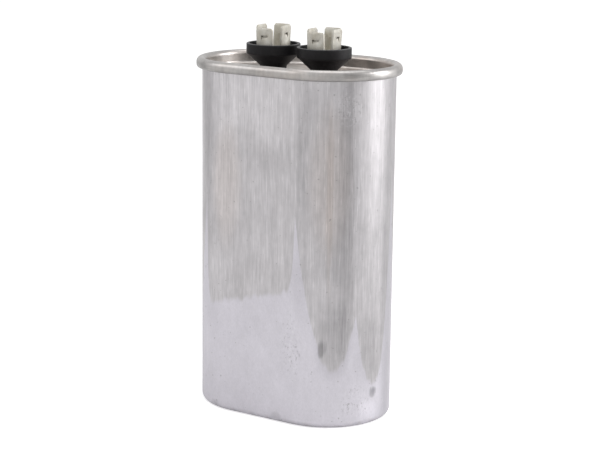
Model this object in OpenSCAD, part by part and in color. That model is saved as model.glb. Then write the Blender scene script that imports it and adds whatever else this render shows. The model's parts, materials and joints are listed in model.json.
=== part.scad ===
// Oval motor run capacitor. A drawn aluminium case is closed by a double-seamed cover that carries
// two insulated terminals of four quick-connect tabs each. Inside are a flattened film winding,
// its insulation and a pressure interrupter: when the cover bulges it pulls the break strips apart.
// Z points up, X runs along the oval and the origin lies under the middle of the foot.

/* [Case] */
// Length of the body over its round ends
case_len = 69.9; // [66:0.1:80]
// Depth of the body over its flat sides
case_dep = 44.5; // [42:0.1:50]
// Height from the foot to the top of the seam
case_h = 120.65; // [95:0.05:160]
// Thickness of the drawn aluminium
wall_t = 0.6; // [0.45:0.05:0.7]
// Outer radius of the corner round the foot
foot_r = 2; // [1.5:0.1:3]

/* [Cover and seam] */
// Thickness of the cover
cover_t = 0.6; // [0.45:0.05:0.7]
// Height of the rolled seam
seam_h = 3.6; // [3.5:0.1:5]
// Clearance between the folded layers of the seam
seam_gap = 0.05; // [0.03:0.01:0.08]
// Radius of the crowned outer face of the seam
crown_r = 4; // [3.5:0.1:8]
// Depth of the cover panel below the top of the seam
recess = 4.8; // [4:0.1:7]
// Radius in the corner between the cover panel and its wall
recess_r = 1; // [0.6:0.1:2]

/* [Terminal cups] */
// Distance between the two terminals
pitch = 20.6; // [20:0.1:26]
// Diameter of a cup at its rim
cup_d = 18.4; // [18:0.1:19.6]
// Height of the cup rims above the top of the seam
cup_rise = 4.8; // [3.5:0.1:6]
// Height of the straight band below a cup's rim
band_h = 3.3; // [2.5:0.1:4]
// Height of the tapered part of a cup
taper_h = 4.3; // [3.5:0.1:4.8]
// Diameter of the neck under the taper
neck_d = 9.1; // [8.4:0.1:11]
// Wall of a cup at its rim
cup_wall = 1; // [0.8:0.1:1.2]
// Depth from a cup's rim to its floor
cup_depth = 4.3; // [3.6:0.1:5]
// Diameter of the spigot that passes through the cover
spigot_d = 6.2; // [5.6:0.1:7]

/* [Tabs] */
// Width of a quick-connect tab
tab_w = 6.2; // [4.8:0.1:6.6]
// Thickness of the tab sheet
tab_t = 0.8; // [0.5:0.05:0.9]
// Height of a tab above the cup's floor
tab_h = 9.7; // [8.5:0.1:11]
// Angle by which each tab leans outward
tab_lean = 4.5; // [0:0.5:6]
// Length of the chamfer at a tab's corners
tab_chamfer = 0.8; // [0.4:0.1:1.5]
// Distance by which a tab stands off the middle of its side
tab_shift = 0.5; // [0:0.05:0.6]
// Angle by which both stacks of tabs are turned on their rivets
tab_turn = 5.5; // [-8:0.5:8]
// Extra distance between the front and back tabs
tab_spread = 0.95; // [0.5:0.05:1.2]
// Width of the lanced stop in a tab
lance_w = 2.4; // [1.6:0.1:3]
// Distance from a tab's tip to the slot of its lance
lance_drop = 2.5; // [2.2:0.1:3.6]

/* [Terminal rivets] */
// Diameter of a rivet's shank
rivet_d = 3.1; // [2.6:0.1:3.6]
// Diameter of a rivet's upper head
rivet_head_d = 5.4; // [4.8:0.1:5.6]
// Clearance round a shank or a spigot
fit = 0.1; // [0.05:0.05:0.2]

/* [Under the cover] */
// Thickness of the seal ring under a cup
seal_t = 0.8; // [0.6:0.1:1.2]
// Distance by which a seal ring stands back from the neck's edge
seal_step = 0.25; // [0:0.05:0.4]
// Outer diameter of the insulator under the cover
insulator_d = 14; // [12:0.1:16]
// Thickness of the insulator under the cover
insulator_t = 1.4; // [1.2:0.1:2]
// Thickness of a contact lug
lug_t = 0.8; // [0.5:0.1:1]
// Width of a contact lug
lug_w = 7.2; // [6.6:0.1:8]
// Reach of a lug from its rivet
lug_reach = 9; // [8.4:0.1:11]
// Thickness of a break strip
strip_t = 0.3; // [0.2:0.05:0.4]
// Width of a break strip
strip_w = 3; // [2:0.1:4]
// Distance from the rivet to the upright leg of a break strip
strip_y = 6; // [5.4:0.1:7]
// Gap between the interrupter plate and the cover
plate_gap = 5.2; // [4.8:0.1:9]
// Thickness of the interrupter plate
plate_t = 1.6; // [1.2:0.1:2.4]
// Diameter of the posts on the interrupter plate
post_d = 4; // [3:0.1:6]
// Height of the spacer between the winding and the plate
spacer_h = 12; // [9:0.1:18]
// Wall of the spacer
spacer_t = 1.5; // [1:0.1:2.5]

/* [Winding] */
// Clearance between parts that slip into one another
slip = 0.3; // [0.2:0.05:0.4]
// Thickness of the insulating liner
liner_t = 0.6; // [0.45:0.05:0.7]
// Thickness of the pad under the winding
pad_t = 2; // [1.6:0.1:3]
// Thickness of the film wrap round the winding
wrap_t = 0.5; // [0.3:0.1:1]
// Thickness of the sprayed metal on each end of the winding
spray_t = 0.8; // [0.5:0.1:1.2]
// Thickness of the flattened core across its short side
core_d = 3; // [2.4:0.1:4]
// Wall of the flattened core
core_wall = 0.8; // [0.5:0.1:1]
// Thickness of an insulated lead strip
lead_t = 0.6; // [0.4:0.1:0.8]
// Width of an insulated lead strip
lead_w = 6; // [4:0.1:8]

/* [Hidden] */
$fn = 96;

// The oval: two round ends joined by a straight stretch
end_r = case_dep / 2;
half_straight = (case_len - case_dep) / 2;

// The seam's section, as distances out from the case wall
hook_bend_r = cover_t / 2 + seam_gap;
roll_r = hook_bend_r + wall_t + seam_gap;
curl_r = wall_t / 2 + seam_gap;
curl_u = hook_bend_r + roll_r - curl_r;
roll_z = case_h - roll_r - cover_t;
curl_z = case_h - seam_h + curl_r + cover_t;
compound_h = 0.75 * wall_t;
chuck_u = -wall_t - seam_gap - cover_t;

// Heights of the terminal stack
panel_z = case_h - recess;
seal_z = panel_z;
seal_d = neck_d - 2 * seal_step;
cup_foot_z = seal_z + seal_t;
cup_rim_z = case_h + cup_rise;
band_z = cup_rim_z - band_h;
neck_z = band_z - taper_h;
cup_floor_z = cup_rim_z - cup_depth;
insulator_z = panel_z - cover_t - insulator_t;
spigot_z = insulator_z + insulator_t / 2;
lug_z = insulator_z - lug_t;
rivet_bore_d = rivet_d + 2 * fit;
head_z = cup_floor_z + 2 * tab_t;
head_h = 1.2;
clinch_h = 0.9;
clinch_lap = 0.9;
rivet_hollow = 3.9;
band_edge = 0.3;
floor_edge_h = 1.4;

// The tabs, as distances from the axis of the rivet
tab_bend_r = 0.5;
// step from the blade in to the narrower plate and bend
neck_step = 0.475;
tab_neck_w = tab_w - 2 * neck_step;
tab_gap = 0.25;
tab_reach_x = tab_neck_w / 2 + tab_gap + tab_bend_r + tab_t;
tab_reach_y = tab_reach_x + tab_spread;
tip_bevel_h = 0.6;
tip_bevel_t = tab_t / 4;
shoulder_rise = 0.5;
shoulder_z = tab_t + tab_bend_r + shoulder_rise;
lance_slot_h = 0.6;
lance_tongue_h = 1.1;
lance_press = 0.5;
lance_root = 0.2;
floor_margin = 0.6;
cup_floor_r = norm([tab_w / 2 + tab_shift, tab_reach_y]) + floor_margin;

// The stack inside the case
plate_z = panel_z - cover_t - plate_gap - plate_t;
post_h = plate_gap - fit;
spray_top_z = plate_z - spacer_h;
liner_z = wall_t;
liner_r = end_r - wall_t - slip;
liner_foot_r = foot_r - wall_t;
liner_in_r = liner_r - liner_t;
pad_z = liner_z + liner_t;
spray_bottom_z = pad_z + pad_t;
core_z = spray_bottom_z;
core_h = spray_top_z - core_z;
winding_z = spray_bottom_z + spray_t;
winding_h = core_h - 2 * spray_t;
wrap_r = liner_in_r - lead_t - 2 * slip;
winding_r = wrap_r - wrap_t - fit;
plate_r = liner_in_r - slip;
spacer_r = winding_r;
core_r = core_d / 2;

// The strips and the leads under them, as distances from the plane through both terminals
strip_foot = 3.5;
strip_foot_y = strip_y + strip_t - strip_foot;
lead_z = plate_z - strip_t - lead_t;
lead_bend_r = wrap_t + slip;
lead_room = 2;
// outer face of the left lead where it turns down to the winding's upper end
lead_return = 6;
left_lead_y = strip_y + lead_return;
left_lead_tail = 3;
// outer face of the right lead where it runs down beside the winding
right_lead_y = wrap_r + slip + lead_t;
right_lead_tail = 8;

// How far a cutting shape runs past the face it cuts
cut = 1;

aluminium = "silver";
tinned = "gainsboro";
moulding = "#26262a";

// ---- shapes that several parts share ----

// The oval outline at a distance r round its two centres
module oval(r) {
    translate([-half_straight, 0])
        circle(r);
    translate([half_straight, 0])
        circle(r);
    square([2 * half_straight, 2 * r], center = true);
}

// A plate of the oval's shape
module oval_plate(r, z, h) {
    translate([0, 0, z])
        linear_extrude(h)
            oval(r);
}

// A section of (distance out from radius r, height) carried once round the oval
module round_oval(r) {
    for (side = [-1, 1])
        translate([side * half_straight, 0, 0])
            rotate([0, 0, -90 * side])
                rotate_extrude(angle = 180)
                    translate([r, 0])
                        children();
    for (turn = [0, 180])
        rotate([0, 0, turn])
            translate([-half_straight, 0, 0])
                rotate([90, 0, 90])
                    linear_extrude(2 * half_straight)
                        translate([r, 0])
                            children();
}

// A flat ring
module ring(outer_d, inner_d, z, h) {
    translate([0, 0, z])
        difference() {
            cylinder(d = outer_d, h = h);
            translate([0, 0, -cut])
                cylinder(d = inner_d, h = h + 2 * cut);
        }
}

// A folded layer: half a ring of sheet round the origin, open downwards
module fold(r, t) {
    intersection() {
        difference() {
            circle(r + t);
            circle(r);
        }
        translate([-r - t, 0])
            square([2 * (r + t), r + t]);
    }
}

// A corner: the lower right quarter of a ring of sheet, inner radius r
module corner(r, t) {
    intersection() {
        difference() {
            circle(r + t);
            circle(r);
        }
        translate([0, -r - t])
            square(r + t);
    }
}

// A sheet between two heights, its inner face at u
module layer(u, t, z0, z1) {
    translate([u, z0])
        square([t, z1 - z0]);
}

module at_terminal(side) {
    translate([side * pitch / 2, 0, 0])
        children();
}

// ---- case, cover and seam ----

module can() {
    color(aluminium) {
        round_oval(end_r) {
            union() {
                translate([-foot_r, foot_r])
                    corner(foot_r - wall_t, wall_t);
                layer(-wall_t, wall_t, foot_r, roll_z);
                translate([hook_bend_r, roll_z])
                    fold(hook_bend_r, wall_t);
                layer(2 * hook_bend_r, wall_t, curl_z + compound_h, roll_z);
            }
        }
        oval_plate(end_r - foot_r, 0, wall_t);
    }
}

// Centre of the circle of radius crown_r that touches both folds of the seam from outside
function crown_centre(top, bottom, top_r, bottom_r) =
    let (
        span = norm(bottom - top),
        along = (top_r * top_r - bottom_r * bottom_r + span * span) / (2 * span),
        aside = sqrt(top_r * top_r - along * along),
        dir = (bottom - top) / span
    )
    top + along * dir + aside * [dir[1], -dir[0]];

// The outer layer of the seam, crowned by the seaming rolls
module seam_face() {
    inner_u = hook_bend_r + roll_r;
    centre = crown_centre([hook_bend_r, roll_z], [curl_u, curl_z],
        crown_r - roll_r - cover_t, crown_r - curl_r - cover_t);
    intersection() {
        translate(centre)
            circle(crown_r);
        translate([inner_u, curl_z - curl_r / 2])
            square([2 * cover_t, roll_z - curl_z + curl_r]);
    }
    layer(inner_u, cover_t, curl_z, roll_z);
}

module cover() {
    wall_foot_z = panel_z + recess_r;
    color(aluminium) {
        round_oval(end_r) {
            union() {
                translate([chuck_u - recess_r, wall_foot_z])
                    corner(recess_r, cover_t);
                layer(chuck_u, cover_t, wall_foot_z, roll_z);
                translate([hook_bend_r, roll_z])
                    fold(roll_r, cover_t);
                seam_face();
                translate([curl_u, curl_z])
                    mirror([0, 1])
                        fold(curl_r, cover_t);
                layer(seam_gap, cover_t, curl_z, roll_z - seam_gap);
            }
        }
        difference() {
            oval_plate(end_r + chuck_u - recess_r, panel_z - cover_t, cover_t);
            for (side = [-1, 1])
                at_terminal(side)
                    translate([0, 0, panel_z - cover_t - cut])
                        cylinder(d = spigot_d + 2 * fit, h = cover_t + 2 * cut);
        }
    }
}

module seam_compound() {
    color("dimgray")
        round_oval(end_r)
            layer(2 * hook_bend_r, wall_t, curl_z - curl_r / 4, curl_z + compound_h - seam_gap);
}

// ---- terminals ----

module terminal_cup(side) {
    rim_r = cup_wall / 2;
    band_r = cup_d / 2;
    inner_r = band_r - cup_wall;
    color(moulding)
        at_terminal(side)
            difference() {
                rotate_extrude() {
                    polygon([
                        [0, spigot_z], [spigot_d / 2, spigot_z], [spigot_d / 2, cup_foot_z],
                        [neck_d / 2, cup_foot_z], [neck_d / 2, neck_z],
                        [band_r - band_edge, band_z - band_edge], [band_r, band_z],
                        [band_r, cup_rim_z - rim_r], [inner_r, cup_rim_z - rim_r],
                        [inner_r, cup_floor_z + floor_edge_h], [cup_floor_r, cup_floor_z], [0, cup_floor_z]
                    ]);
                    translate([band_r - rim_r, cup_rim_z - rim_r])
                        circle(rim_r);
                }
                translate([0, 0, spigot_z - cut])
                    cylinder(d = rivet_bore_d, h = cup_floor_z - spigot_z + 2 * cut);
            }
}

// The frame of a leaning tab: x across it, y out of its outer face, z up from the end of its bend
module on_tab(reach) {
    translate([0, reach - tab_t - tab_bend_r, tab_t + tab_bend_r])
        rotate([-tab_lean, 0, 0])
            translate([0, tab_bend_r + tab_t, 0])
                children();
}

// One tab that rises at +Y from a plate under the rivet, its blade moved sideways by shift
module bent_tab(reach, shift, longer = 0) {
    blade_h = (tab_h + longer - tab_t - tab_bend_r) / cos(tab_lean);
    arc_c = [reach - tab_t - tab_bend_r, tab_t + tab_bend_r];
    sector = 2 * (tab_bend_r + tab_t);
    slot_z = blade_h - lance_drop - lance_slot_h;
    difference() {
        translate([shift, 0, 0])
            rotate([90, 0, 90])
                linear_extrude(tab_w, center = true) {
                    // plate
                    square([arc_c[0], tab_t]);
                    // bend
                    translate(arc_c)
                        intersection() {
                            difference() {
                                circle(tab_bend_r + tab_t);
                                circle(tab_bend_r);
                            }
                            polygon([
                                [0, 0], [0, -sector], [sector, -sector],
                                [sector, -sector * tan(tab_lean)]
                            ]);
                        }
                    // blade with a bevelled tip
                    translate(arc_c)
                        rotate(-tab_lean)
                            translate([tab_bend_r, 0])
                                polygon([
                                    [0, 0], [tab_t, 0], [tab_t, blade_h - tip_bevel_h],
                                    [tab_t - tip_bevel_t, blade_h], [tip_bevel_t, blade_h],
                                    [0, blade_h - tip_bevel_h]
                                ]);
                }
        for (edge = [-1, 1]) {
            // shoulders: the plate and the bend are narrower than the blade
            translate([edge * (tab_neck_w + tab_w) / 2, reach / 2, shoulder_z / 2 - cut])
                cube([tab_w, 2 * reach, shoulder_z + 2 * cut], center = true);
            // chamfered corners of the tip
            on_tab(reach)
                translate([shift + edge * tab_w / 2, 0, blade_h])
                    rotate([0, edge * -30, 0])
                        cube([tab_chamfer, 4 * tab_t, 4 * tab_chamfer], center = true);
        }
        // lanced opening
        on_tab(reach)
            translate([shift - lance_w / 2, -2 * tab_t, slot_z - lance_tongue_h])
                cube([lance_w, 4 * tab_t, lance_slot_h + lance_tongue_h]);
    }
    // tongue of the lance, pressed inwards at its top
    on_tab(reach)
        translate([shift + lance_w / 2, 0, slot_z - lance_tongue_h])
            rotate([0, 0, 180])
                rotate([90, 0, 90])
                    linear_extrude(lance_w)
                        polygon([
                            [0, -lance_root], [tab_t, -lance_root], [tab_t, 0],
                            [tab_t + lance_press, lance_tongue_h], [lance_press, lance_tongue_h],
                            [0, 0]
                        ]);
}

// One folded sheet with two tabs at right angles and a hole for the rivet
module tab_sheet(side_longer = 0) {
    difference() {
        union() {
            cylinder(d = rivet_head_d, h = tab_t);
            rotate([0, 0, 180])
                bent_tab(tab_reach_y, tab_shift);
            rotate([0, 0, -90])
                bent_tab(tab_reach_x, -tab_shift, side_longer);
        }
        translate([0, 0, -cut])
            cylinder(d = rivet_bore_d, h = tab_t + 2 * cut);
    }
}

// The lower sheet's side tab is longer by the thickness of a sheet, to end level with the upper one's
module lower_tabs(side) {
    color(tinned)
        at_terminal(side)
            translate([0, 0, cup_floor_z])
                rotate([0, 0, tab_turn])
                    tab_sheet(tab_t);
}

// A like sheet, turned half round and stacked on the lower one
module upper_tabs(side) {
    color(tinned)
        at_terminal(side)
            translate([0, 0, cup_floor_z + tab_t])
                rotate([0, 0, 180 + tab_turn])
                    tab_sheet();
}

// Both rivets: domed head above, shank, and a rolled end with its hollow below
module terminal_rivets() {
    dome_r = (head_h * head_h + rivet_head_d * rivet_head_d / 4) / (2 * head_h);
    color(tinned)
        for (side = [-1, 1])
            at_terminal(side)
                difference() {
                    union() {
                        intersection() {
                            translate([0, 0, head_z + head_h - dome_r])
                                sphere(dome_r);
                            translate([0, 0, head_z])
                                cylinder(d = 2 * rivet_head_d, h = 2 * head_h);
                        }
                        translate([0, 0, lug_z - clinch_h / 2])
                            cylinder(d = rivet_d, h = head_z - lug_z + clinch_h);
                        translate([0, 0, lug_z - clinch_h])
                            cylinder(d = rivet_d + 2 * clinch_lap, h = clinch_h);
                    }
                    translate([0, 0, lug_z - clinch_h - cut])
                        cylinder(d = rivet_d / 2, h = cut + rivet_hollow);
                }
}

module seal_ring(side) {
    color("#3a2f2a")
        at_terminal(side)
            ring(seal_d, spigot_d + 2 * fit, seal_z, seal_t);
}

// Flanged washer that takes the end of the spigot
module lower_insulator(side) {
    color("burlywood")
        at_terminal(side)
            difference() {
                ring(insulator_d, rivet_bore_d, insulator_z, insulator_t);
                translate([0, 0, spigot_z])
                    cylinder(d = spigot_d + 2 * fit, h = insulator_t);
            }
}

module contact_lug(side) {
    color("goldenrod")
        at_terminal(side)
            difference() {
                union() {
                    translate([0, 0, lug_z])
                        cylinder(d = lug_w, h = lug_t);
                    translate([-lug_w / 3, 0, lug_z])
                        cube([lug_w / 1.5, lug_reach, lug_t]);
                }
                translate([0, 0, lug_z - cut])
                    cylinder(d = rivet_bore_d, h = lug_t + 2 * cut);
            }
}

// ---- pressure interrupter ----

// Thin Z-shaped strip with a notched waist, from the lug down through the interrupter plate
module break_strip(side) {
    waist_z = (lug_z + plate_z + plate_t) / 2;
    color("peru")
        at_terminal(side)
            difference() {
                union() {
                    translate([-strip_w / 2, strip_y, lug_z - strip_t])
                        cube([strip_w, lug_reach - strip_y, strip_t]);
                    translate([-strip_w / 2, strip_y, plate_z - strip_t])
                        cube([strip_w, strip_t, lug_z - plate_z + strip_t]);
                    translate([-strip_w / 2, strip_foot_y, plate_z - strip_t])
                        cube([strip_w, strip_foot, strip_t]);
                }
                for (edge = [-1, 1])
                    translate([edge * strip_w / 2, strip_y + strip_t / 2, waist_z])
                        rotate([0, 45, 0])
                            cube([strip_w / 3, 3 * strip_t, strip_w / 3], center = true);
            }
}

// Moulded plate with slots for the strips and posts up to the cover
module interrupter_plate() {
    post_x = half_straight + plate_r / 2;
    color("wheat") {
        difference() {
            oval_plate(plate_r, plate_z, plate_t);
            for (side = [-1, 1])
                at_terminal(side)
                    translate([0, strip_y + strip_t / 2, plate_z])
                        cube([strip_w + 2 * slip, strip_t + 2 * slip, 3 * plate_t], center = true);
            for (y = [-1, 1])
                translate([0, y * plate_r / 2, plate_z - cut])
                    cylinder(d = post_d, h = plate_t + 2 * cut);
        }
        for (x = [-1, 1], y = [-1, 1])
            translate([x * post_x, y * plate_r / 3, plate_z + plate_t / 2])
                cylinder(d = post_d, h = plate_t / 2 + post_h);
    }
}

// Open tray that stands on the winding and carries the plate, with ways through for the leads
module top_spacer() {
    window = lead_w + 2 * lead_room;
    color("ivory")
        difference() {
            oval_plate(spacer_r, spray_top_z, spacer_h);
            oval_plate(spacer_r - spacer_t, spray_top_z + spacer_t, spacer_h);
            // ways through the floor for the left lead and for filling
            for (x = [-1, 1])
                translate([x * pitch / 2, left_lead_y, spray_top_z])
                    cube([window, window, 4 * spacer_t], center = true);
            oval_plate(spacer_r / 4, spray_top_z - cut, spacer_t + 2 * cut);
            // notch in the wall for the right lead
            translate([pitch / 2 - lead_w / 2 - slip, 0, lead_z - slip])
                cube([lead_w + 2 * slip, spacer_r + cut, spacer_h]);
        }
}

// ---- leads ----

// Insulated strip that runs out from under a break strip, turns down at outer_y and turns back
// in at the foot, where its tail lies on the winding
module lead(side, outer_y, foot_z, tail) {
    top_z = lead_z + lead_t;
    turn = lead_bend_r + lead_t;
    color("firebrick")
        translate([side * pitch / 2 - lead_w / 2, 0, 0])
            rotate([90, 0, 90])
                linear_extrude(lead_w) {
                    translate([strip_foot_y, lead_z])
                        square([outer_y - turn - strip_foot_y, lead_t]);
                    translate([outer_y - turn, top_z - turn])
                        mirror([0, 1])
                            corner(lead_bend_r, lead_t);
                    translate([outer_y - lead_t, foot_z + turn])
                        square([lead_t, top_z - foot_z - 2 * turn]);
                    translate([outer_y - turn, foot_z + turn])
                        corner(lead_bend_r, lead_t);
                    translate([outer_y - turn - tail, foot_z])
                        square([tail, lead_t]);
                }
}

// Short lead: down to the upper end of the winding
module lead_left() {
    lead(-1, left_lead_y, spray_top_z, left_lead_tail);
}

// Long lead: over the edge of the winding, down its side and under its lower end
module lead_right() {
    lead(1, right_lead_y, spray_bottom_z - lead_t, right_lead_tail);
}

// ---- winding and its insulation ----

module end_spray(z) {
    color("slategray")
        difference() {
            oval_plate(winding_r, z, spray_t);
            oval_plate(core_r, z - cut, spray_t + 2 * cut);
        }
}

module end_spray_top() {
    end_spray(spray_top_z - spray_t);
}

module end_spray_bottom() {
    end_spray(spray_bottom_z);
}

// The film roll, flattened round its core
module winding() {
    color("lightsteelblue")
        difference() {
            oval_plate(winding_r, winding_z, winding_h);
            oval_plate(core_r, winding_z - cut, winding_h + 2 * cut);
        }
}

module winding_core() {
    color("white")
        difference() {
            oval_plate(core_r, core_z, core_h);
            oval_plate(core_r - core_wall, core_z - cut, core_h + 2 * cut);
        }
}

module winding_wrap() {
    color("lightyellow")
        difference() {
            oval_plate(wrap_r, winding_z, winding_h);
            oval_plate(wrap_r - wrap_t, winding_z - cut, winding_h + 2 * cut);
        }
}

// Cup of insulating sheet between the case and everything inside it
module liner() {
    color("honeydew") {
        round_oval(liner_r)
            union() {
                translate([-liner_foot_r, liner_z + liner_foot_r])
                    corner(liner_foot_r - liner_t, liner_t);
                layer(-liner_t, liner_t, liner_z + liner_foot_r, plate_z + plate_t);
            }
        oval_plate(liner_r - liner_foot_r, liner_z, liner_t);
    }
}

// Pad under the winding, grooved for the end of the long lead
module bottom_pad() {
    color("khaki")
        difference() {
            oval_plate(liner_r - liner_foot_r, pad_z, pad_t);
            translate([pitch / 2 - lead_w / 2 - slip, 0, spray_bottom_z - lead_t])
                cube([lead_w + 2 * slip, end_r, 2 * lead_t]);
        }
}

can();
cover();
seam_compound();
terminal_cup(-1);  // terminal_cup_left
terminal_cup(1);  // terminal_cup_right
lower_tabs(-1);  // lower_tabs_left
lower_tabs(1);  // lower_tabs_right
upper_tabs(-1);  // upper_tabs_left
upper_tabs(1);  // upper_tabs_right
terminal_rivets();
seal_ring(-1);  // seal_ring_left
seal_ring(1);  // seal_ring_right
lower_insulator(-1);  // lower_insulator_left
lower_insulator(1);  // lower_insulator_right
contact_lug(-1);  // contact_lug_left
contact_lug(1);  // contact_lug_right
break_strip(-1);  // break_strip_left
break_strip(1);  // break_strip_right
interrupter_plate();
top_spacer();
lead_left();
lead_right();
end_spray_top();
end_spray_bottom();
winding();
winding_core();
winding_wrap();
liner();
bottom_pad();
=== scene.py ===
import json
import math

import bpy
from mathutils import Matrix, Vector

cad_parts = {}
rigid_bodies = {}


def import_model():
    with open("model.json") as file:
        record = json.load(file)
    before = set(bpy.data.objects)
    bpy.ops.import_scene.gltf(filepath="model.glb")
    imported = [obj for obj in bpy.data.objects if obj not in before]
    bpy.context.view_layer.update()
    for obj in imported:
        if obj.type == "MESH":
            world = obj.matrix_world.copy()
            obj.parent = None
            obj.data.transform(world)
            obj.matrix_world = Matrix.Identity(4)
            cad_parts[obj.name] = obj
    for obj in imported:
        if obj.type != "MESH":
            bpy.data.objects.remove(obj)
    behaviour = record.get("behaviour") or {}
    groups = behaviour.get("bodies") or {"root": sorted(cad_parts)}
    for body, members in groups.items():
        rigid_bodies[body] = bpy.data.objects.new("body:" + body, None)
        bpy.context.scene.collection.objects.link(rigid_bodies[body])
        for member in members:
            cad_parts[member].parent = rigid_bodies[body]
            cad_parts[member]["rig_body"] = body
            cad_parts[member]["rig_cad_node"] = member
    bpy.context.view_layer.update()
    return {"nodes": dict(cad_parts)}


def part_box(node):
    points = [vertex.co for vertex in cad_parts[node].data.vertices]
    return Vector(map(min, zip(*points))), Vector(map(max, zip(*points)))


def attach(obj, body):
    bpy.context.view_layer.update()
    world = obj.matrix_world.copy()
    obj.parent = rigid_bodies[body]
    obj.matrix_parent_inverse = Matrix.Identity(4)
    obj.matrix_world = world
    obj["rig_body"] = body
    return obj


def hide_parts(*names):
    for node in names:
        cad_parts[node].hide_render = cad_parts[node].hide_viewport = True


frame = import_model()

bl_info = {
    "name": "Motor Run Capacitor",
    "version": (1, 0, 0),
    "blender": (4, 5, 0),
    "location": "3D View > Sidebar > Capacitor",
    "description": "Builds the case, seamed cover, terminals and stage round the packed capacitor",
    "category": "Object",
}

# ---- places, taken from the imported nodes, in metres ----

MM = 0.001
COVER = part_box("cover")
CUPS = {side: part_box("terminal_cup_" + side) for side in ("left", "right")}
SHEETS = ("lower_tabs_left", "lower_tabs_right", "upper_tabs_left", "upper_tabs_right")

# Distances that count as none: between merged vertices, off a level, between a section's ends
MERGED, LEVEL, SAME = 2e-6, 1e-6, 1e-7

# The wall's unrolled map is in decimetres
MAP_PER_METRE, MM_PER_MAP = 10, 100.0

# Steps round one end of the case and of the cover, and once round a cup
CASE_STEPS, COVER_STEPS, CUP_STEPS = 56, 64, 96

# The folded tab sheets: thickness, bend, lean and turn on the rivet, and the slot of each lance
TAB_T, TAB_BEND = 0.8 * MM, 0.5 * MM
TAB_LEAN, TAB_TURN = math.radians(4.5), math.radians(5.5)
SLOT_W, SLOT_H = 2.4 * MM, 0.6 * MM
# turn, reach and sideways shift of a sheet's front and side tab, and the height of its slot up the
# blade in the lower and in the upper sheet
TABS = (
    (math.pi, 5.125 * MM, 0.5 * MM, (5.326 * MM, 5.326 * MM)),
    (-math.pi / 2, 4.175 * MM, -0.5 * MM, (6.128 * MM, 5.326 * MM)),
)


# ---- sizes and colours a user would change ----


class CaseSettings(bpy.types.PropertyGroup):
    length: bpy.props.FloatProperty(
        name="Body length", description="Length of the case body over its round ends",
        default=69.9 * MM, min=0.06, max=0.09, unit="LENGTH")
    depth: bpy.props.FloatProperty(
        name="Body depth", description="Depth of the case body over its flat sides",
        default=44.5 * MM, min=0.04, max=0.055, unit="LENGTH")
    wall: bpy.props.FloatProperty(
        name="Wall", description="Thickness of the drawn aluminium",
        default=0.6 * MM, min=0.0004, max=0.001, unit="LENGTH")
    foot_radius: bpy.props.FloatProperty(
        name="Foot radius", description="Outer radius of the corner round the foot",
        default=2.0 * MM, min=0.001, max=0.004, unit="LENGTH")
    smooth_colour: bpy.props.FloatVectorProperty(
        name="Drawn metal", description="Colour of the smooth drawn metal round the foot",
        subtype="COLOR", size=3, min=0.0, max=1.0, default=(0.62, 0.60, 0.645))
    streaked_colour: bpy.props.FloatVectorProperty(
        name="Ironed metal", description="Colour of the streaked, ironed metal above it",
        subtype="COLOR", size=3, min=0.0, max=1.0, default=(0.52, 0.502, 0.516))


class CoverSettings(bpy.types.PropertyGroup):
    sheet: bpy.props.FloatProperty(
        name="Sheet", description="Thickness of the cover",
        default=0.6 * MM, min=0.0004, max=0.001, unit="LENGTH")
    seam_height: bpy.props.FloatProperty(
        name="Seam height", description="Height of the rolled seam",
        default=3.6 * MM, min=0.003, max=0.005, unit="LENGTH")
    seam_gap: bpy.props.FloatProperty(
        name="Seam clearance", description="Clearance between the folded layers of the seam",
        default=0.05 * MM, min=0.00002, max=0.0001, unit="LENGTH")
    crown_radius: bpy.props.FloatProperty(
        name="Crown radius", description="Radius of the crowned outer face of the seam",
        default=4.0 * MM, min=0.003, max=0.008, unit="LENGTH")
    recess: bpy.props.FloatProperty(
        name="Recess", description="Depth of the cover panel below the top of the seam",
        default=4.8 * MM, min=0.004, max=0.007, unit="LENGTH")
    recess_radius: bpy.props.FloatProperty(
        name="Recess radius", description="Radius in the corner between the panel and its wall",
        default=1.0 * MM, min=0.0005, max=0.002, unit="LENGTH")
    colour: bpy.props.FloatVectorProperty(
        name="Rolled metal", description="Colour of the cover and its rolled seam",
        subtype="COLOR", size=3, min=0.0, max=1.0, default=(0.42, 0.405, 0.395))


class TerminalSettings(bpy.types.PropertyGroup):
    cup_wall: bpy.props.FloatProperty(
        name="Cup wall", description="Wall of a cup at its rim",
        default=1.0 * MM, min=0.0007, max=0.0014, unit="LENGTH")
    cup_depth: bpy.props.FloatProperty(
        name="Cup depth", description="Depth from a cup's rim to its floor",
        default=4.3 * MM, min=0.003, max=0.006, unit="LENGTH")
    band: bpy.props.FloatProperty(
        name="Band", description="Height of the straight band below a cup's rim",
        default=3.3 * MM, min=0.002, max=0.005, unit="LENGTH")
    taper: bpy.props.FloatProperty(
        name="Taper", description="Height of the tapered part of a cup",
        default=4.3 * MM, min=0.003, max=0.005, unit="LENGTH")
    neck: bpy.props.FloatProperty(
        name="Neck", description="Diameter of the neck under the taper",
        default=9.1 * MM, min=0.008, max=0.012, unit="LENGTH")
    edge: bpy.props.FloatProperty(
        name="Tab edge", description="Radius to which the edges of the tab sheets are rounded",
        default=0.09 * MM, min=0.00002, max=0.0002, unit="LENGTH")
    moulding_colour: bpy.props.FloatVectorProperty(
        name="Moulding", description="Colour of the black cups",
        subtype="COLOR", size=3, min=0.0, max=1.0, default=(0.0085, 0.008, 0.009))
    tin_colour: bpy.props.FloatVectorProperty(
        name="Tin plate", description="Colour of the plated tabs and rivets",
        subtype="COLOR", size=3, min=0.0, max=1.0, default=(0.70, 0.68, 0.62))


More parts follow.
